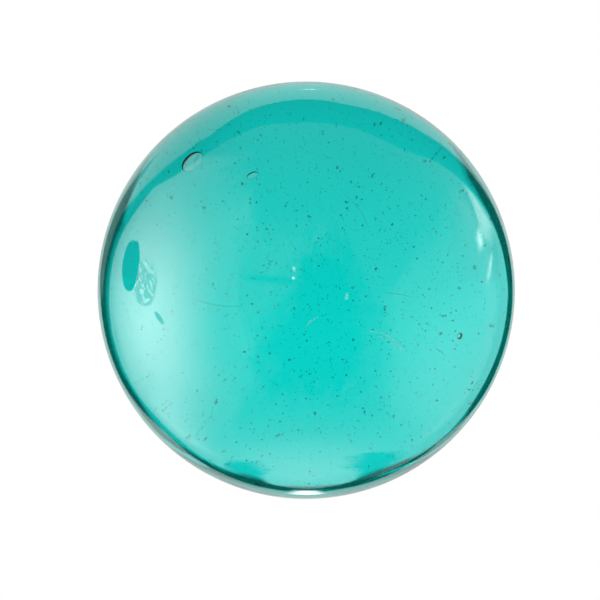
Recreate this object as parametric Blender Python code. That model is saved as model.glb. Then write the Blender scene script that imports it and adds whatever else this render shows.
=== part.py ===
# Solid glass ball on a small rest flat, with two pontil marks on its front left.
# Metres, +Z up. The origin is the middle of the rest flat, and the front is -Y.

import math

import bpy
from mathutils import Matrix, Vector

# Driving dimensions
BALL_RADIUS = 0.030
REST_FLAT_DIAMETER = 0.008
GROUND_MARK_LENGTH = 0.0073
GROUND_MARK_WIDTH = 0.0044
SCAR_LENGTH = 0.0063
SCAR_WIDTH = 0.0050

# How far the oval tool reaches past the recess it leaves, as a share of its length
OVAL_OVERRUN = 1.03

# Where the marks lie: azimuth from the front towards +X, elevation above the ball's
# centre, and lean of the long axis from upright towards +X, all in degrees
GROUND_MARK_PLACE = (-54.6, 15.4, -12.0)
SCAR_PLACE = (-46.9, 12.3, -12.0)

# Fineness of the faceted surfaces
BALL_SEGMENTS = 80
OVAL_SEGMENTS = 96

# Glass: deep turquoise, clear and fire polished
GLASS_COLOUR = (0.05, 0.62, 0.56, 1.0)
GLASS_ROUGHNESS = 0.02
GLASS_IOR = 1.5


def rise(radius, half_chord):
    """Height of a circle's arc over a chord."""
    return radius - math.sqrt(radius**2 - half_chord**2)


def clear_scene():
    for obj in list(bpy.data.objects):
        bpy.data.objects.remove(obj, do_unlink=True)


def new_collection(name):
    collection = bpy.data.collections.new(name)
    bpy.context.scene.collection.children.link(collection)
    return collection


def move_to(obj, collection):
    for old in list(obj.users_collection):
        old.objects.unlink(obj)
    collection.objects.link(obj)


def glass_material():
    material = bpy.data.materials.new("turquoise_glass")
    material.use_nodes = True
    shader = material.node_tree.nodes["Principled BSDF"]
    shader.inputs["Base Color"].default_value = GLASS_COLOUR
    shader.inputs["Roughness"].default_value = GLASS_ROUGHNESS
    shader.inputs["Metallic"].default_value = 0.0
    shader.inputs["IOR"].default_value = GLASS_IOR
    shader.inputs["Transmission Weight"].default_value = 1.0
    return material


def hide_cutter(obj, name, collection):
    obj.name = name
    obj.hide_render = True
    obj.display_type = "WIRE"
    move_to(obj, collection)
    return obj


def rest_flat_cutter(collection):
    """A block whose top is the plane that the ball stands on."""
    side = 2 * BALL_RADIUS
    bpy.ops.mesh.primitive_cube_add(size=side, location=(0, 0, -side / 2))
    return hide_cutter(bpy.context.object, "rest_flat_cutter", collection)


def oval_recess_cutter(name, centre, place, length, width, collection):
    """A flat-ended oval tool pressed into the ball to where the ends of its length run out."""
    azimuth, elevation, lean = (math.radians(angle) for angle in place)
    outward = Vector((
        math.cos(elevation) * math.sin(azimuth),
        -math.cos(elevation) * math.cos(azimuth),
        math.sin(elevation),
    ))
    depth = rise(BALL_RADIUS, length / 2)
    bpy.ops.mesh.primitive_cylinder_add(
        vertices=OVAL_SEGMENTS, radius=0.5, depth=1.0, location=(0, 0, 0)
    )
    tool = bpy.context.object
    size = Matrix.Diagonal((width, length * OVAL_OVERRUN, length, 1.0))
    facing = outward.to_track_quat("Z", "Y").to_matrix().to_4x4()
    leaning = Matrix.Rotation(-lean, 4, "Z")
    middle = centre + outward * (BALL_RADIUS - depth + length / 2)
    tool.matrix_world = Matrix.Translation(middle) @ facing @ leaning @ size
    return hide_cutter(tool, name, collection)


def cut(body, cutter):
    modifier = body.modifiers.new(cutter.name, "BOOLEAN")
    modifier.operation = "DIFFERENCE"
    modifier.solver = "EXACT"
    modifier.object = cutter


def glass_ball(parts, cutters):
    centre = Vector((0, 0, BALL_RADIUS - rise(BALL_RADIUS, REST_FLAT_DIAMETER / 2)))
    bpy.ops.mesh.primitive_uv_sphere_add(
        segments=BALL_SEGMENTS,
        ring_count=BALL_SEGMENTS // 2,
        radius=BALL_RADIUS,
        location=centre,
    )
    ball = bpy.context.object
    ball.name = "glass_ball"
    ball.data.materials.append(glass_material())
    ball.data.shade_smooth()
    move_to(ball, parts)
    cut(ball, rest_flat_cutter(cutters))
    cut(ball, oval_recess_cutter(
        "ground_mark_cutter", centre, GROUND_MARK_PLACE,
        GROUND_MARK_LENGTH, GROUND_MARK_WIDTH, cutters,
    ))
    cut(ball, oval_recess_cutter(
        "scar_cutter", centre, SCAR_PLACE, SCAR_LENGTH, SCAR_WIDTH, cutters,
    ))
    return ball


def main():
    clear_scene()
    parts = new_collection("glass_ball_parts")
    cutters = new_collection("cutters")
    glass_ball(parts, cutters)
    bpy.context.view_layer.update()


main()
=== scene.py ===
import math
import random

import bmesh
import bpy
from mathutils import Matrix, Vector, noise


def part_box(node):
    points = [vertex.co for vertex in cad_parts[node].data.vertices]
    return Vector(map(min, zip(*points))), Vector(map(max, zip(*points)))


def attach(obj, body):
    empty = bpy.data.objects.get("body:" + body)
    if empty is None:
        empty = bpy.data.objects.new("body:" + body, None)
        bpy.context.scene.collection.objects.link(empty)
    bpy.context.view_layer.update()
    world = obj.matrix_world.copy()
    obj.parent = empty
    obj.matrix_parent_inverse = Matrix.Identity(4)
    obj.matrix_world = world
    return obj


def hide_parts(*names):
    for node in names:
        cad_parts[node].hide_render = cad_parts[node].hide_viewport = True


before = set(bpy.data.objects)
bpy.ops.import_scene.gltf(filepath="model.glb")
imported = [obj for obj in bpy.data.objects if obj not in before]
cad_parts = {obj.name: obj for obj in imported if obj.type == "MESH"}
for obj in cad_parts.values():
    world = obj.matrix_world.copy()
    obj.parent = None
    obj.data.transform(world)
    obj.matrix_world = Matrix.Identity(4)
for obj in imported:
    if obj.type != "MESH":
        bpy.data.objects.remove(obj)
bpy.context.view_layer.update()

# Handmade solid glass ball on white: the ball with its marks, the air in it, then
# the lit white set around it. Metres, front is -Y.

lowest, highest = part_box("glass_ball")
ballRadius = (highest.x - lowest.x) / 2
ballMiddle = Vector((0, 0, highest.z - ballRadius))


def linearColour(hexColour):
    # sRGB hex to the linear values that shaders take
    parts = [int(hexColour[i:i + 2], 16) / 255 for i in (0, 2, 4)]
    linear = [c / 12.92 if c <= 0.04045 else ((c + 0.055) / 1.055) ** 2.4 for c in parts]
    return (*linear, 1.0)


def addNode(tree, kind, settings=None, links=None):
    # settings: attributes or input values; links: input name or number to a socket
    node = tree.nodes.new(kind)
    for key, value in (settings or {}).items():
        if isinstance(key, str) and hasattr(node, key):
            setattr(node, key, value)
        else:
            node.inputs[key].default_value = value
    for key, socket in (links or {}).items():
        tree.links.new(socket, node.inputs[key])
    return node


def newMaterial(name):
    material = bpy.data.materials.new(name)
    material.use_nodes = True
    material.node_tree.nodes.clear()
    return material, material.node_tree


# Camera first: the photograph's view, slightly from above
viewpoint = {
    "elevation": 15.0,             # degrees above the horizon
    "lens": 100.0,                 # mm
    "sensor": 36.0,                # mm
    "imageWidth": 600.0,           # px, square
    "ballCentre": (306.2, 290.2),  # px, where the ball's middle shows
    "ballRadius": 208.7,           # px, out to its rim
    "clip": (0.05, 100),           # nearest and farthest seen, in camera distances
}


def makeCamera():
    v = viewpoint
    data = bpy.data.cameras.new("camera")
    data.lens = v["lens"]
    data.sensor_width = v["sensor"]
    camera = bpy.data.objects.new("camera", data)
    bpy.context.scene.collection.objects.link(camera)
    pixelTangent = v["sensor"] / v["lens"] / v["imageWidth"]
    distance = ballRadius / math.sin(math.atan(v["ballRadius"] * pixelTangent))
    up = math.radians(v["elevation"])
    back = Vector((0, -math.cos(up), math.sin(up)))
    camera.location = ballMiddle + back * distance
    camera.rotation_euler = (-back).to_track_quat("-Z", "Y").to_euler()
    data.shift_x = (0.5 * v["imageWidth"] - v["ballCentre"][0]) / v["imageWidth"]
    data.shift_y = (v["ballCentre"][1] - 0.5 * v["imageWidth"]) / v["imageWidth"]
    data.clip_start = distance * v["clip"][0]
    data.clip_end = distance * v["clip"][1]
    bpy.context.scene.camera = camera
    return back, distance, pixelTangent


towardsCamera, cameraDistance, pixelTangent = makeCamera()
cameraRight = Vector((1, 0, 0))
cameraUp = towardsCamera.cross(cameraRight).normalized()
print("camera ready")


def pointUnderPixel(px, py):
    # where the ball's surface shows under a pixel of the photograph
    v = viewpoint
    along = -towardsCamera
    along += cameraRight * (px - v["ballCentre"][0]) * pixelTangent
    along -= cameraUp * (py - v["ballCentre"][1]) * pixelTangent
    along.normalize()
    start = towardsCamera * cameraDistance
    reach = -start.dot(along)
    reach -= math.sqrt(max(reach**2 - start.length_squared + ballRadius**2, 0))
    return ballMiddle + (start + along * reach)


# The glass

glass = {
    "ior": 1.5,
    "roughness": 0.0,
    # absorption per metre, of which each channel takes the share that its colour lacks of 1
    "density": 95.0,
    "colour": (0.0, 0.945, 0.925),
    # unevenness of the skin: how far apart its swellings lie, and how high they are
    "ripplePeriod": 0.0042,
    "rippleHeight": 0.000020,
    "grainPeriod": 0.0009,
    "grainHeight": 0.000004,
    "skinDetail": 2.0,
}


def makeGlass():
    # Copper-blue soda glass, fire polished: clear, glossy and deep turquoise where thick,
    # with the faint ripple and fine grain of a surface smoothed by flame
    material, tree = newMaterial("copper blue soda glass")
    place = addNode(tree, "ShaderNodeTexCoord")
    skin = None
    for name in ("ripple", "grain"):
        swelling = addNode(tree, "ShaderNodeTexNoise", {
            "Scale": 1 / glass[name + "Period"],
            "Detail": glass["skinDetail"],
        }, {"Vector": place.outputs["Object"]})
        skin = addNode(tree, "ShaderNodeBump", {"Distance": glass[name + "Height"]}, {
            "Height": swelling.outputs[0],
            **({"Normal": skin.outputs[0]} if skin else {}),
        })
    shader = addNode(tree, "ShaderNodeBsdfPrincipled", {
        "Base Color": (1, 1, 1, 1),
        "Roughness": glass["roughness"],
        "IOR": glass["ior"],
        "Transmission Weight": 1.0,
    }, {"Normal": skin.outputs[0]})
    tint = addNode(tree, "ShaderNodeVolumeAbsorption", {
        "Color": (*glass["colour"], 1.0),
        "Density": glass["density"],
    })
    addNode(tree, "ShaderNodeOutputMaterial", {}, {
        "Surface": shader.outputs[0],
        "Volume": tint.outputs[0],
    })
    return material


# The ball's own surface

ballShape = {
    "subdivisions": 7,
    "refinements": 3,           # how often the faces on the marks are split again
    "refineReach": (0.56, 0.06),  # how far out they are, in mark lengths, and more at first
    "restFlat": 0.008,          # across
    # each mark's place is its azimuth from the front, its elevation and its lean, in degrees
    "groundMark": {"place": (-54.6, 15.4, -12.0), "length": 0.0073, "width": 0.0044},
    "scar": {"place": (-46.9, 12.3, -12.0), "length": 0.0063, "width": 0.0050},
    "chip": {"place": (-40.3, 4.6, -50.0), "length": 0.0022, "width": 0.0009},
    "scarRoughness": 0.00003,   # height of the torn glass in the scar
    "scarGrain": 0.0008,        # how far apart its swellings lie
    "scarCalm": 0.85,           # how far out, of the scar's half size, it starts to level
    "scarLip": 0.000015,        # height of the thin raised line round the scar
    "scarLipWidth": 0.05,       # of the scar's half size
    "scarReach": 1.2,           # how far out the line has died away, in the same measure
    "wavePeriod": 0.011,        # the slow unevenness of hand shaping
    "waveHeight": 0.000012,
}


def rise(radius, halfChord):
    # height of a circle's arc over a chord
    return radius - math.sqrt(radius**2 - halfChord**2)


def outwardAt(azimuth, elevation):
    a, e = math.radians(azimuth), math.radians(elevation)
    return Vector((math.cos(e) * math.sin(a), -math.cos(e) * math.cos(a), math.sin(e)))


def smoothStep(low, high, value):
    t = min(max((value - low) / (high - low), 0), 1)
    return t * t * (3 - 2 * t)


class Mark:
    # a shallow oval facet, flat across its width, that meets the ball all round
    def __init__(self, place, length, width):
        self.outward = outwardAt(place[0], place[1])
        facing = self.outward.to_track_quat("Z", "Y").to_matrix()
        leaning = Matrix.Rotation(math.radians(-place[2]), 3, "Z")
        self.turn = facing @ leaning
        self.length, self.width = length, width
        self.depth = rise(ballRadius, width / 2)

    def reachAlong(self, direction, torn=False):
        # how far from the ball's middle the glass reaches here, or None off the mark
        local = self.turn.transposed() @ direction
        if local.z <= 0.5:    # far round the ball
            return None
        across = local * (ballRadius / local.z)
        edge = math.hypot(across.x / (self.width / 2), across.y / (self.length / 2))
        if edge > (ballShape["scarReach"] if torn else 1):
            return None
        reach = ballRadius - self.depth * max(1 - edge * edge, 0)
        if torn:
            rough = noise.noise(across / ballShape["scarGrain"])
            reach += ballShape["scarRoughness"] * rough * smoothStep(1, ballShape["scarCalm"], edge)
            off = (edge - 1.0) / ballShape["scarLipWidth"]
            reach += ballShape["scarLip"] * math.exp(-(off**2))
        return reach

    def normalAt(self, share):
        # the way the facet faces, this share of the way along its length from its middle
        tilt = share * (self.length / 2 / ballRadius) * (1 - (self.width / self.length) ** 2)
        return self.turn @ Vector((0, math.sin(tilt), math.cos(tilt)))


# The air caught in the glass: where it shows in the photograph, how deep it lies
# below the surface there, its width, length and thickness, and its lean from upright

bubbles = [
    {"pixel": (190.5, 159.5), "depth": 0.0007, "size": (0.0033, 0.0034, 0.00032), "lean": -42},
    {"pixel": (251.5, 173.0), "depth": 0.0008, "size": (0.0011, 0.0016, 0.00028), "lean": 65},
    {"pixel": (463.0, 337.0), "depth": 0.0009, "size": (0.0010, 0.0009, 0.0005), "lean": 0},
    {"pixel": (474.0, 384.0), "depth": 0.0008, "size": (0.0005, 0.0005, 0.0004), "lean": 0},
]
bubbleFineness = 4

# Hair-thin drawn-out bubbles: points along them in the photograph, depth and thickness
hairs = [
    {"pixels": [(384, 292), (399, 294), (415, 297)], "depth": 0.0006, "width": 0.00006},
    {"pixels": [(437, 349), (442, 352), (446, 356)], "depth": 0.0006, "width": 0.00008},
    {"pixels": [(190, 300), (215, 306), (240, 307)], "depth": 0.0014, "width": 0.00007},
    {"pixels": [(345, 190), (362, 207), (371, 226)], "depth": 0.0016, "width": 0.00006},
]

# Fine scratches on the skin, given in the same way
scratches = {
    "lines": [
        {"pixels": [(306, 326), (311, 321), (318, 317)], "depth": 0.0, "width": 0.00020},
        {"pixels": [(369, 331), (384, 334), (395, 341), (402, 351)], "depth": 0.0, "width": 0.00022},
        {"pixels": [(374, 335), (386, 339), (396, 348)], "depth": 0.0, "width": 0.00012},
        {"pixels": [(345, 299.5), (349, 294)], "depth": 0.0, "width": 0.00016},
    ],
    "solidity": 0.16,           # how much of the light each side of a scratch holds back
    "roughness": 0.8,
    "colour": "f6fbfa",
    "colourDark": "cfe4e0",
    "patch": 0.0005,            # how far apart its paler and darker spots lie
}

threadShape = {
    "sides": 8,
    "steps": 24,
    "blunt": 0.04,              # how much of the taper is left out at each end
}


def addHollow(shape, made):
    # a hollow is a closed skin turned inside out in the same mesh as the ball
    faces = {face for v in made for face in v.link_faces}
    bmesh.ops.reverse_faces(shape, faces=list(faces))


def addBubbles(shape):
    for bubble in bubbles:
        outward = (pointUnderPixel(*bubble["pixel"]) - ballMiddle).normalized()
        # upright in the picture, laid along the surface
        upright = (cameraUp - outward * cameraUp.dot(outward)).normalized()
        facing = Matrix((upright.cross(outward), upright, outward)).transposed().to_4x4()
        leaning = Matrix.Rotation(math.radians(-bubble["lean"]), 4, "Z")
        size = Matrix.Diagonal((*bubble["size"], 1.0))
        middle = outward * (ballRadius - bubble["depth"] - bubble["size"][2] / 2)
        made = bmesh.ops.create_icosphere(
            shape, subdivisions=bubbleFineness, radius=0.5,
            matrix=Matrix.Translation(middle) @ facing @ leaning @ size,
        )
        addHollow(shape, made["verts"])


def addThreads(shape, threads, hollow):
    # hair-thin strokes that taper at both ends
    sides, steps, blunt = threadShape["sides"], threadShape["steps"], threadShape["blunt"]
    for thread in threads:
        knots = [pointUnderPixel(*pixel) - ballMiddle for pixel in thread["pixels"]]
        knots = [knot * (1 - thread["depth"] / ballRadius) for knot in knots]
        path = []
        for i in range(steps + 1):
            t = i / steps * (len(knots) - 1)
            k = min(int(t), len(knots) - 2)
            a, b = knots[max(k - 1, 0)], knots[k]
            c, d = knots[k + 1], knots[min(k + 2, len(knots) - 1)]
            u = t - k
            # a smooth curve through the knots
            path.append(0.5 * (
                2 * b + (c - a) * u + (2 * a - 5 * b + 4 * c - d) * u**2
                + (3 * b - 3 * c + d - a) * u**3
            ))
        rings = []
        for i, middle in enumerate(path):
            along = (path[min(i + 1, steps)] - path[max(i - 1, 0)]).normalized()
            side = along.cross(middle).normalized()
            above = side.cross(along)
            taper = math.sin(math.pi * (blunt + (1 - 2 * blunt) * i / steps))
            radius = thread["width"] / 2 * math.sqrt(taper)
            rings.append([
                shape.verts.new(middle + radius * (side * math.cos(a) + above * math.sin(a)))
                for a in (2 * math.pi * j / sides for j in range(sides))
            ])
        for first, second in zip(rings, rings[1:]):
            for j in range(sides):
                n = (j + 1) % sides
                shape.faces.new((first[j], first[n], second[n], second[j]))
        shape.faces.new(list(reversed(rings[0])))
        shape.faces.new(rings[-1])
        made = [v for ring in rings for v in ring]
        faces = {face for v in made for face in v.link_faces}
        bmesh.ops.recalc_face_normals(shape, faces=list(faces))
        if hollow:
            addHollow(shape, made)


def makeBall():
    mesh = bpy.data.meshes.new("glass_ball_body")
    shape = bmesh.new()
    bmesh.ops.create_icosphere(shape, subdivisions=ballShape["subdivisions"], radius=1.0)
    marks = [(Mark(**ballShape[name]), name == "scar") for name in ("groundMark", "scar", "chip")]
    least, more = ballShape["refineReach"]
    for level in range(ballShape["refinements"]):
        near = set()
        for v in shape.verts:
            for mark, _ in marks:
                spread = (least + more / (level + 1)) * mark.length / ballRadius
                if v.co.dot(mark.outward) > math.cos(spread):
                    near.update(v.link_edges)
        bmesh.ops.subdivide_edges(shape, edges=list(near), cuts=1, use_grid_fill=True)
        bmesh.ops.triangulate(shape, faces=[f for f in shape.faces if len(f.verts) > 3])
        for v in shape.verts:
            v.co.normalize()
    flatHeight = math.sqrt(ballRadius**2 - (ballShape["restFlat"] / 2) ** 2)
    for v in shape.verts:
        direction = v.co.copy()
        wave = noise.noise(direction * ballRadius / ballShape["wavePeriod"])
        reach = ballRadius + ballShape["waveHeight"] * wave
        if direction.z < 0:
            reach = min(reach, flatHeight / -direction.z)
        for mark, torn in marks:
            cut = mark.reachAlong(direction, torn)
            if cut is not None:
                reach = cut
                break
        v.co = direction * reach
    addBubbles(shape)
    addThreads(shape, hairs, hollow=True)
    shape.to_mesh(mesh)
    shape.free()
    mesh.shade_smooth()
    ball = bpy.data.objects.new("glass_ball_body", mesh)
    ball.location = ballMiddle
    bpy.context.scene.collection.objects.link(ball)
    return ball


glassMaterial = makeGlass()
ball = makeBall()
ball.data.materials.append(glassMaterial)
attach(ball, "root")
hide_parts("glass_ball")
print("ball:", len(ball.data.polygons), "faces")


mattShade = {"detail": 2.0, "darkUpTo": 0.35, "paleFrom": 0.65}


def makeMatt(name, settings):
    # uneven, matt and part clear, so that the glass shows through a speck or stroke
    material, tree = newMaterial(name)
    place = addNode(tree, "ShaderNodeTexCoord")
    cloud = addNode(tree, "ShaderNodeTexNoise", {
        "Scale": 1 / settings["patch"],
        "Detail": mattShade["detail"],
    }, {"Vector": place.outputs["Object"]})
    shade = addNode(tree, "ShaderNodeValToRGB", {}, {0: cloud.outputs[0]})
    dark, pale = shade.color_ramp.elements
    dark.position = mattShade["darkUpTo"]
    dark.color = linearColour(settings["colourDark"])
    pale.position = mattShade["paleFrom"]
    pale.color = linearColour(settings["colour"])
    shader = addNode(tree, "ShaderNodeBsdfPrincipled", {
        "Roughness": settings["roughness"],
        "IOR": glass["ior"],
        "Alpha": settings["solidity"],
    }, {"Base Color": shade.outputs[0]})
    addNode(tree, "ShaderNodeOutputMaterial", {}, {"Surface": shader.outputs[0]})
    return material


def placeInGlass(name, mesh, material):
    mesh.materials.append(material)
    made = bpy.data.objects.new(name, mesh)
    made.location = ballMiddle
    bpy.context.scene.collection.objects.link(made)
    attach(made, "root")


def makeScratches():
    shape = bmesh.new()
    addThreads(shape, scratches["lines"], hollow=False)
    mesh = bpy.data.meshes.new("fine_scratches")
    shape.to_mesh(mesh)
    shape.free()
    mesh.shade_smooth()
    # Glass crushed to powder along a scratch: reads as a faint whitish stroke
    placeInGlass("fine_scratches", mesh, makeMatt("crushed glass", scratches))


makeScratches()
print("scratches:", len(scratches["lines"]))


# Seeds: specks of unmelted colour in the glass and on its skin

seeds = {
    "inGlass": 6400,
    "onSkin": 2600,
    "smallest": 0.00007,        # across
    "largest": 0.00019,
    "fewLarge": 6.0,            # the higher, the fewer large ones
    "stretch": (0.8, 1.5),      # least and most length, in widths
    "within": 0.80,             # of the ball's radius, for those in the glass
    "sunk": 0.00003,            # how deep the middle of a speck on the skin lies
    "skinLowest": -0.96,        # the height below which the skin has none, in ball radii
    "solidity": 0.48,           # how much of the light each side of a speck holds back
    "roughness": 0.7,
    "colour": "3fdccd",
    "colourDark": "14938a",
    "patch": 0.004,             # how far apart paler and darker specks lie
    "randomSeed": 11,
}


def makeSeeds():
    rng = random.Random(seeds["randomSeed"])
    stone = bmesh.new()
    bmesh.ops.create_icosphere(stone, subdivisions=1, radius=0.5)
    stonePoints = [v.co.copy() for v in stone.verts]
    stoneFaces = [[v.index for v in face.verts] for face in stone.faces]
    stone.free()
    places = []
    while len(places) < seeds["inGlass"]:
        place = Vector([rng.uniform(-1, 1) for _ in range(3)])
        if place.length < seeds["within"]:
            places.append(place)
    while len(places) < seeds["inGlass"] + seeds["onSkin"]:
        place = Vector([rng.gauss(0, 1) for _ in range(3)]).normalized()
        if place.z > seeds["skinLowest"]:
            places.append(place * (1 - seeds["sunk"] / ballRadius))
    points, faces = [], []
    for place in places:
        spread = seeds["largest"] - seeds["smallest"]
        size = seeds["smallest"] + spread * rng.random() ** seeds["fewLarge"]
        stretch = Matrix.Diagonal((size, size * rng.uniform(*seeds["stretch"]), size))
        turn = Matrix.Rotation(rng.uniform(0, math.pi), 3, place) @ stretch
        first = len(points)
        points += [place * ballRadius + turn @ point for point in stonePoints]
        faces += [[first + i for i in face] for face in stoneFaces]
    mesh = bpy.data.meshes.new("seed_specks")
    mesh.from_pydata(points, [], faces)
    mesh.update()
    # Unmelted copper colour, matt and uneven: reads as small dark teal dots in the glass
    placeInGlass("seed_specks", mesh, makeMatt("unmelted copper colour", seeds))


makeSeeds()
print("seeds:", seeds["inGlass"], "in the glass", seeds["onSkin"], "on its skin")


# The white set. Bearings run from straight behind the ball, left negative, and
# elevations from the horizon, both seen from the ball's middle, in degrees.

studio = {
    "floorSize": 6.0,
    # brightness seen through the glass, by elevation
    "lightBehind": [
        (-90, 0.84), (-74, 0.70), (-62, 0.64), (-48, 0.69), (-40, 0.72), (-28, 0.80), (-8, 0.92),
        (8, 0.88), (30, 0.90), (40.2, 0.87), (42.0, 0.10), (45.0, 0.14), (50, 0.46), (60, 0.62),
        (90, 0.75),
    ],
    # a softer light low on the right behind: where it sets in across and down, share left
    "shadeAcross": (0.12, 0.50),
    "shadeDown": (0.90, -0.22),
    "shadeLeft": 0.82,
    # brightness mirrored by the glass where no card stands, by elevation
    "lightAround": [
        (-90, 1.85), (-76, 1.50), (-66, 0.88), (-58, 0.66), (-48, 0.46), (-30, 0.50), (10, 0.46),
        (35, 0.38), (60, 0.29), (90, 0.34),
    ],
}

# Cards that only the reflections see. Each row of an outline is an elevation with the
# bearings of the card's left and right edge there.
cards = {
    "black surround": {
        "outline": [
            (-60.2, -10, 10), (-59, -22, 20), (-55, -32, 26), (-50, -39, 30), (-45, -45, 33),
            (-40, -47, 34.5), (-36, -46, 38), (-30, -45.5, 41), (-12, -47.5, 40.5),
            (0, -49, 41.5), (6, -51.5, 42.5), (14, -54, 45.5),
            (21, -54, 47), (33, -60, 50), (40, -59, 53), (47, -54, 53), (53, -45, 48),
            (58, -30, 36), (63, -14, 18), (65, -3, 5),
        ],
        "brightness": 0.004, "feather": (0.03, 0.03), "distance": 48.0,
    },
    "backdrop": {
        "outline": [
            (-52.5, -9, 9), (-50, -18, 15), (-47.5, -25, 21), (-43, -35, 29), (-40, -39, 33),
            (-35, -36, 32),
            (-26, -29, 26), (-8, -31, 28), (-2, -36, 28), (4, -40, 30), (10, -45, 31),
            (22, -48, 31), (32, -47, 26), (41, -38, 14),
        ],
        "brightness": 0.64, "feather": (0.10, 0.04), "distance": 46.0,
    },
    "backdrop fold": {
        "outline": [
            (-15, -36, -24), (-9, -37.5, -23.5), (-2, -39, -24.5), (2, -39.5, -25.5),
            (6, -39, -26.5), (9, -35, -27), (13, -31, -27),
        ],
        "brightness": 0.21, "feather": (0.3, 0.25), "distance": 45.5,
    },
    "left softbox": {
        "outline": [(-64, -116, -20), (-48, -130, -34), (-34, -140, -50), (48, -142, -54)],
        "brightness": 7.0, "feather": (1.0, 1.0), "distance": 44.0,
    },
    "left haze": {
        "outline": [
            (-72, -104, -45), (-62, -120, -42), (-49, -142, -40), (-35, -156, -40),
            (-9, -164, -40), (14, -160, -42), (31, -156, -46), (42, -152, -50), (55, -140, -56),
            (70, -116, -60),
        ],
        "brightness": 1.35, "feather": (0.36, 0.4), "distance": 50.0, "ragged": 0.12,
    },
    "right softbox": {
        "outline": [(-66, 54, 132), (-40, 58, 146), (-10, 66, 150), (16, 72, 150)],
        "brightness": 1.75, "feather": (1.0, 1.0), "distance": 45.0,
    },
    "right haze": {
        "outline": [
            (-61, 44, 98), (-46, 47, 132), (-10, 50, 144), (8, 50, 144), (18, 50, 128),
            (32, 52, 112),
        ],
        "brightness": 1.0, "feather": (0.3, 0.4), "distance": 50.0, "ragged": 0.12,
    },
    "dark room": {
        "outline": [
            (-54, 148, 202), (-47, 140, 212), (-34, 136, 216), (-20, 134, 218), (-6, 132, 216),
            (4, 132, 208), (12, 137, 202), (22, 142, 197), (34, 146, 190), (50, 146, 184),
        ],
        "brightness": 0.0, "feather": (0.7, 0.45), "distance": 42.0, "ragged": 0.4,
    },
    "pale wall behind the camera": {
        "outline": [(-16, 176, 216), (20, 174, 222), (40, 160, 230), (56, 150, 244)],
        "brightness": 0.74, "feather": (0.5, 0.7), "distance": 43.0, "ragged": 0.4,
    },
    "stand in the dark room": {
        "outline": [(16, 178, 218), (23, 178, 218)],
        "brightness": 0.10, "feather": (0.6, 1.0), "distance": 41.5, "ragged": 0.3,
    },
    # Painted shadow: a dark card that stands in for the ball's contact shadow on the floor, seen in
    # reflections low on the left
    "painted contact shadow low on the left": {
        "outline": [
            (-79, -84, -40), (-70, -68, -28), (-66, -62, -22), (-62, -55, -14), (-58, -43, -9),
            (-54, -35, -9), (-50, -29, -9),
        ],
        "brightness": 0.0, "feather": (0.55, 0.8), "distance": 43.0, "ragged": 0.25,
    },
    # Painted shadow: a dark card that stands in for the ball's contact shadow on the floor, seen in
    # reflections low on the right
    "painted contact shadow low on the right": {
        "outline": [
            (-80, 50, 108), (-71, 38, 92), (-67, 32, 84), (-63, 22, 72), (-59, 13, 62),
            (-55, 11, 52), (-50, 11, 40),
        ],
        "brightness": 0.0, "feather": (0.45, 0.75), "distance": 43.0, "ragged": 0.25,
    },
    "foot light": {
        "outline": [(-56.5, -5.6, 5.6), (-45, -5.6, 5.6)],
        "brightness": 4.6, "feather": (1.0, 0.5), "distance": 40.0,
    },
    "upper strip light": {
        "outline": [
            (0, 42, 52), (4, 42.5, 58), (9, 43.5, 63), (12, 44, 58), (15, 45, 54), (20, 46, 52),
        ],
        "brightness": 2.3, "feather": (0.55, 0.8), "distance": 41.0,
    },
    "upper strip light's core": {
        "outline": [(4.8, 59, 71), (12, 56, 68)],
        "brightness": 5.5, "feather": (1.0, 1.0), "distance": 40.0,
    },
    "lower strip light": {
        "outline": [(-5.0, 61, 71), (-1.8, 58, 69), (-0.2, 54, 65), (2.4, 51, 62)],
        "brightness": 3.1, "feather": (1.0, 0.8), "distance": 40.0,
    },
    "high spot": {
        "outline": [(23.4, -1.5, 2.5), (25.6, -1.5, 2.5)],
        "brightness": 2.6, "feather": (0.8, 0.8), "distance": 40.0,
    },
    "camera lamp": {
        "outline": [(24.4, 185.2, 188.2), (27.4, 185.2, 188.2)],
        "brightness": 9.0, "feather": (1.0, 1.0), "distance": 40.0,
    },
    "camera lamp below": {
        "outline": [(20.0, 185.6, 188.6), (22.8, 185.6, 188.6)],
        "brightness": 9.0, "feather": (1.0, 1.0), "distance": 40.0,
    },
    "side lamp": {
        "outline": [(8.8, 157.4, 160.4), (12.6, 156.8, 159.2)],
        "brightness": 3.5, "feather": (1.0, 0.9), "distance": 40.0,
    },
}

cardCloth = {
    "columns": 24,
    "rowStep": 5,               # degrees
    "tatterScale": 9.0,
    "tatterDetail": 3.0,
}

# Flags: narrow cards, each where the facet of a mark mirrors it to the camera
flags = {
    "groundMark": {
        "halfWidth": 2.4, "brightness": 0.004, "feather": (0.15, 0.05), "distance": 38.0,
    },
    "scar": {"halfWidth": 6.0, "brightness": 2.5, "feather": (0.45, 0.2), "distance": 38.5},
    "chip": {"halfWidth": 1.4, "brightness": 1.9, "feather": (0.3, 0.1), "distance": 38.5},
}
flagRows = (-1.2, -0.6, 0, 0.6, 1.2)    # shares of the mark's half length

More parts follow.
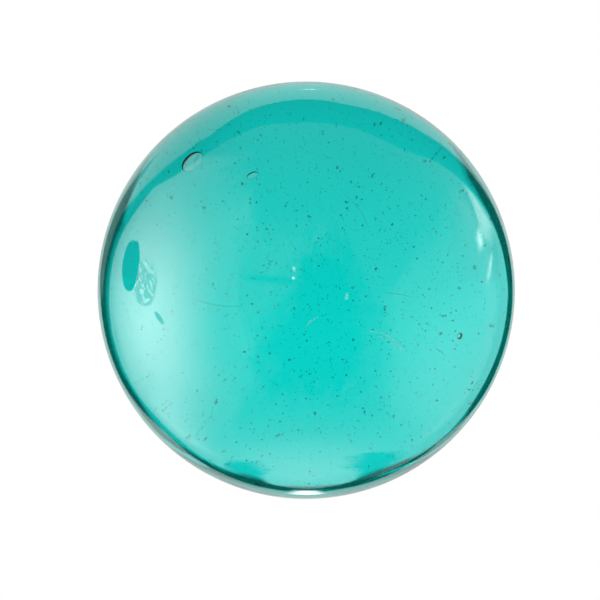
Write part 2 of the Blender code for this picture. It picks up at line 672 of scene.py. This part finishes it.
# A dark arch, seen only through the glass, that draws the dark line just inside the rim.
# One stands behind the ball. The other stands in front of it for the views from behind,
# and has no top. Their legs lie in the planes halfway between front, sides and back.
arch = {
    # for the right side and the left, at an angle round the view's axis from that side:
    # where the edge starts, where it is full and where it ends, in degrees off that axis
    "outlines": {
        1: [
            (-42, 70.8, 71.1, 71.4), (-38, 65, 69, 71.4), (-35, 60, 64.5, 70.5),
            (-28, 54.5, 60, 71.4), (-20, 49.5, 56, 71.5), (-10, 51, 60, 71.5), (0, 52.5, 63, 71.5),
            (14, 56, 63, 71.5), (25, 58.5, 62.5, 71.5), (35, 56, 63, 71), (45, 53.5, 68, 70),
            (55, 54.5, 59, 63), (60, 55, 57.5, 62), (66, 51, 59, 64), (72, 48, 55, 64),
            (76, 47.5, 54.5, 64), (80, 53, 56.5, 62), (86, 56.5, 57.5, 58.5),
        ],
        -1: [
            (-46, 69, 70.5, 71.4), (-40, 55, 70, 71), (-35, 50, 60, 67), (-28, 52, 57, 70),
            (-20, 55, 58, 71.5), (-10, 57.5, 60, 71.5), (0, 60.5, 63, 71.5), (14, 60.5, 63, 71.5),
            (25, 59.5, 62, 71.5), (35, 58.5, 64, 71.4), (45, 57.5, 68, 71), (55, 54, 62, 66),
            (60, 51.5, 56, 60), (68, 47.5, 54.5, 57.5), (72, 48, 55, 58), (75, 50, 57, 61),
            (80, 54.5, 57, 60), (86, 56.5, 57.5, 58.5),
        ],
    },
    "startsAt": 0.98,           # ball radii behind the ball's middle, where its rays start
    "farReach": 12.0,           # ball radii, where the legs keep to those planes
    "nearReach": 3.0,           # ball radii, where the arch bends inwards over the top
    "bend": (22, 40),           # the angles between which it leaves those planes
    "legsTo": 34,               # the angle at which the arch in front of the ball stops
    "rowStep": 3,               # degrees
    "edgeOn": 0.91,             # where cloth counts as edge-on: 0 faces the eye, 1 is edge-on
    "brightness": 0.04,
}


def bearingVector(bearing, elevation):
    b, e = math.radians(bearing), math.radians(elevation)
    return Vector((math.cos(e) * math.sin(b), math.cos(e) * math.cos(b), math.sin(e)))


def addGradient(tree, stops, elevation):
    # a brightness for each elevation in degrees
    place = addNode(tree, "ShaderNodeMapRange", {
        "From Min": -math.pi / 2,
        "From Max": math.pi / 2,
    }, {0: elevation})
    ramp = addNode(tree, "ShaderNodeValToRGB", {}, {0: place.outputs[0]})
    most = max(value for _, value in stops)
    points = ramp.color_ramp.elements
    while len(points) < len(stops):
        points.new(0.5)
    for point, (angle, value) in zip(points, stops):
        point.position = (angle + 90) / 180
        point.color = (value / most, value / most, value / most, 1)
    return ramp, most


def makeFloor():
    bpy.ops.mesh.primitive_plane_add(size=studio["floorSize"])
    floor = bpy.context.object
    floor.name = "floor"
    # White card, lit evenly: a plain white ground without a shadow or an edge
    material, tree = newMaterial("white card")
    glow = addNode(tree, "ShaderNodeEmission", {"Color": (1, 1, 1, 1), "Strength": 1.0})
    addNode(tree, "ShaderNodeOutputMaterial", {}, {"Surface": glow.outputs[0]})
    floor.data.materials.append(material)
    floor.visible_glossy = False
    floor.visible_transmission = False


def makeWorld():
    # plain white to the camera, graded light through the glass and in its reflections
    world = bpy.data.worlds.new("white studio")
    world.use_nodes = True
    tree = world.node_tree
    tree.nodes.clear()
    path = addNode(tree, "ShaderNodeLightPath")
    direction = addNode(tree, "ShaderNodeTexCoord")
    axes = addNode(tree, "ShaderNodeSeparateXYZ", {}, {0: direction.outputs["Generated"]})
    elevation = addNode(tree, "ShaderNodeMath", {"operation": "ARCSINE"}, {0: axes.outputs["Z"]})
    seen = addNode(tree, "ShaderNodeBackground", {"Color": (1, 1, 1, 1), "Strength": 1.0})
    behind, behindMost = addGradient(tree, studio["lightBehind"], elevation.outputs[0])
    around, aroundMost = addGradient(tree, studio["lightAround"], elevation.outputs[0])
    shares = []
    for axis, name in (("X", "shadeAcross"), ("Z", "shadeDown")):
        shares.append(addNode(tree, "ShaderNodeMapRange", {
            "interpolation_type": "SMOOTHSTEP",
            "From Min": studio[name][0],
            "From Max": studio[name][1],
        }, {0: axes.outputs[axis]}))
    both = addNode(tree, "ShaderNodeMath", {"operation": "MULTIPLY"}, {
        0: shares[0].outputs[0],
        1: shares[1].outputs[0],
    })
    shade = addNode(tree, "ShaderNodeMapRange", {
        "To Min": behindMost,
        "To Max": behindMost * studio["shadeLeft"],
    }, {0: both.outputs[0]})
    through = addNode(tree, "ShaderNodeBackground", {}, {
        "Color": behind.outputs[0],
        "Strength": shade.outputs[0],
    })
    mirrored = addNode(tree, "ShaderNodeBackground", {"Strength": aroundMost}, {
        "Color": around.outputs[0],
    })
    light = addNode(tree, "ShaderNodeMixShader", {}, {
        0: path.outputs["Is Transmission Ray"],
        1: mirrored.outputs[0],
        2: through.outputs[0],
    })
    choose = addNode(tree, "ShaderNodeMixShader", {}, {
        0: path.outputs["Is Camera Ray"],
        1: light.outputs[0],
        2: seen.outputs[0],
    })
    addNode(tree, "ShaderNodeOutputWorld", {}, {"Surface": choose.outputs[0]})
    bpy.context.scene.world = world


def cardMaterial(name, brightness, feather, ragged):
    # cloth that glows evenly and fades out over the feathered share of each side,
    # raggedly where what it stands for has no clean edge
    material, tree = newMaterial(name + " cloth")
    glow = addNode(tree, "ShaderNodeEmission", {"Color": (1, 1, 1, 1), "Strength": brightness})
    clear = addNode(tree, "ShaderNodeBsdfTransparent")
    place = addNode(tree, "ShaderNodeUVMap", {"uv_map": "card"})
    sides = addNode(tree, "ShaderNodeSeparateXYZ", {}, {0: place.outputs[0]})
    tatters = addNode(tree, "ShaderNodeTexNoise", {
        "Scale": cardCloth["tatterScale"],
        "Detail": cardCloth["tatterDetail"],
    }, {"Vector": place.outputs[0]})
    shift = addNode(tree, "ShaderNodeMapRange", {
        "To Min": -ragged / 2,
        "To Max": ragged / 2,
    }, {0: tatters.outputs[0]})
    shares = []
    for side in (0, 1):
        middle = addNode(tree, "ShaderNodeMath", {"operation": "SUBTRACT", 1: 0.5}, {
            0: sides.outputs[side],
        })
        clean = addNode(tree, "ShaderNodeMath", {"operation": "ABSOLUTE"}, {0: middle.outputs[0]})
        off = addNode(tree, "ShaderNodeMath", {"operation": "ADD"}, {
            0: clean.outputs[0],
            1: shift.outputs[0],
        })
        shares.append(addNode(tree, "ShaderNodeMapRange", {
            "interpolation_type": "SMOOTHSTEP",
            "From Min": 0.5,
            "From Max": 0.5 - 0.5 * feather[side],
        }, {0: off.outputs[0]}))
    share = addNode(tree, "ShaderNodeMath", {"operation": "MULTIPLY"}, {
        0: shares[0].outputs[0],
        1: shares[1].outputs[0],
    })
    edge = addNode(tree, "ShaderNodeMixShader", {}, {
        0: share.outputs[0],
        1: clear.outputs[0],
        2: glow.outputs[0],
    })
    addNode(tree, "ShaderNodeOutputMaterial", {}, {"Surface": edge.outputs[0]})
    return material


def makeCard(name, outline, brightness, feather, distance, ragged=0.0):
    # a curved card around the ball, seen by reflections only
    across = cardCloth["columns"]
    rows = []
    for (low, *lowEdges), (high, *highEdges) in zip(outline, outline[1:]):
        parts = max(1, round((high - low) / cardCloth["rowStep"]))
        for i in range(parts):
            t = i / parts
            edges = [a + (b - a) * t for a, b in zip(lowEdges, highEdges)]
            rows.append((low + (high - low) * t, *edges))
    rows.append(outline[-1])
    bottom, top = rows[0][0], rows[-1][0]
    mesh = bpy.data.meshes.new(name)
    shape = bmesh.new()
    uv = shape.loops.layers.uv.new("card")
    grid = []
    for elevation, left, right in rows:
        line = []
        for column in range(across + 1):
            lean = bearingVector(left + (right - left) * column / across, elevation)
            line.append(shape.verts.new(lean * distance * ballRadius))
        grid.append(line)
    for row in range(len(rows) - 1):
        for column in range(across):
            corners = ((row, column), (row, column + 1), (row + 1, column + 1), (row + 1, column))
            face = shape.faces.new([grid[r][c] for r, c in corners])
            for loop, (r, c) in zip(face.loops, corners):
                loop[uv].uv = (c / across, (rows[r][0] - bottom) / (top - bottom))
    shape.to_mesh(mesh)
    shape.free()
    card = bpy.data.objects.new(name, mesh)
    card.location = ballMiddle
    bpy.context.scene.collection.objects.link(card)
    mesh.materials.append(cardMaterial(name, brightness, feather, ragged))
    card.visible_camera = False
    card.visible_transmission = False
    card.visible_diffuse = False
    card.visible_shadow = False


def makeFlag(markName, halfWidth, brightness, feather, distance):
    mark = Mark(**ballShape[markName])
    spot = mark.outward * (ballRadius - mark.depth)
    toCamera = (towardsCamera * cameraDistance - spot).normalized()
    outline = []
    for share in flagRows:
        normal = mark.normalAt(share)
        mirrored = 2 * toCamera.dot(normal) * normal - toCamera
        place = (spot + mirrored * distance * ballRadius).normalized()
        elevation = math.degrees(math.asin(place.z))
        bearing = math.degrees(math.atan2(place.x, place.y))
        outline.append((elevation, bearing - halfWidth, bearing + halfWidth))
    makeCard(markName + " flag", sorted(outline), brightness, feather, distance)


def makeArchMaterial():
    # Black cloth: a dark band with a soft inner edge, left out where it is seen edge-on
    material, tree = newMaterial("black arch cloth")
    glow = addNode(tree, "ShaderNodeEmission", {
        "Color": (1, 1, 1, 1),
        "Strength": arch["brightness"],
    })
    clear = addNode(tree, "ShaderNodeBsdfTransparent")
    facing = addNode(tree, "ShaderNodeLayerWeight", {"Blend": 0.5})
    edgeOn = addNode(tree, "ShaderNodeMath", {"operation": "GREATER_THAN", 1: arch["edgeOn"]}, {
        0: facing.outputs["Facing"],
    })
    place = addNode(tree, "ShaderNodeUVMap", {"uv_map": "card"})
    sides = addNode(tree, "ShaderNodeSeparateXYZ", {}, {0: place.outputs[0]})
    outside = addNode(tree, "ShaderNodeMapRange", {
        "interpolation_type": "SMOOTHSTEP",
        "From Min": 0.5,
        "From Max": 0.0,
    }, {0: sides.outputs[0]})
    leftOut = addNode(tree, "ShaderNodeMath", {"operation": "MAXIMUM"}, {
        0: edgeOn.outputs[0],
        1: outside.outputs[0],
    })
    shown = addNode(tree, "ShaderNodeMixShader", {}, {
        0: leftOut.outputs[0],
        1: glow.outputs[0],
        2: clear.outputs[0],
    })
    addNode(tree, "ShaderNodeOutputMaterial", {}, {"Surface": shown.outputs[0]})
    return material


def makeArch(turn, side, material):
    # one half of an arch, drawn by rays from just inside the far side of the ball
    forward = -towardsCamera
    apex = forward * ballRadius * arch["startsAt"]
    mesh = bpy.data.meshes.new("arch")
    shape = bmesh.new()
    uv = shape.loops.layers.uv.new("card")
    outline = arch["outlines"][side]
    if turn:
        outline = [row for row in outline if row[0] <= arch["legsTo"]]
    edges = []
    for first, second in zip(outline, outline[1:]):
        parts = max(1, round((second[0] - first[0]) / arch["rowStep"]))
        for i in range(parts):
            edges.append([a + (b - a) * i / parts for a, b in zip(first, second)])
    edges.append(outline[-1])
    rows = []
    for angle, start, full, end in edges:
        a = math.radians(angle)
        aside = cameraRight * math.cos(a) * side + cameraUp * math.sin(a)
        bend = smoothStep(*arch["bend"], angle)
        farthest = arch["farReach"] + (arch["nearReach"] - arch["farReach"]) * bend
        row = []
        # across the cloth, its inner half is the soft edge
        for share, off in ((0.0, start), (0.25, (start + full) / 2), (0.5, full), (1.0, end)):
            o = math.radians(off)
            lean = forward * math.cos(o) + aside * math.sin(o)
            reach = farthest * ballRadius
            # a ray that would cross a leg's plane stops at it
            closing = abs(lean.x) - lean.y
            if closing > 0:
                reach = min(reach, apex.y / closing)
            row.append((share, shape.verts.new(apex + lean * reach)))
        rows.append(row)
    for first, second in zip(rows, rows[1:]):
        for i in range(len(first) - 1):
            corners = (first[i], first[i + 1], second[i + 1], second[i])
            face = shape.faces.new([corner[1] for corner in corners])
            for loop, corner in zip(face.loops, corners):
                loop[uv].uv = (corner[0], 0.5)
    shape.to_mesh(mesh)
    shape.free()
    mesh.materials.append(material)
    arc = bpy.data.objects.new(f"arch_{turn}_{side}", mesh)
    arc.location = ballMiddle
    arc.rotation_euler = (0, 0, math.radians(turn))
    bpy.context.scene.collection.objects.link(arc)
    arc.visible_camera = False
    arc.visible_glossy = False
    arc.visible_diffuse = False
    arc.visible_shadow = False


makeFloor()
makeWorld()
for cardName, settings in cards.items():
    makeCard(cardName, **settings)
for markName, settings in flags.items():
    makeFlag(markName, **settings)
archMaterial = makeArchMaterial()
for turn in (0, 180):
    for side in (-1, 1):
        makeArch(turn, side, archMaterial)
bpy.context.scene.view_settings.view_transform = "Standard"
print("white set ready")
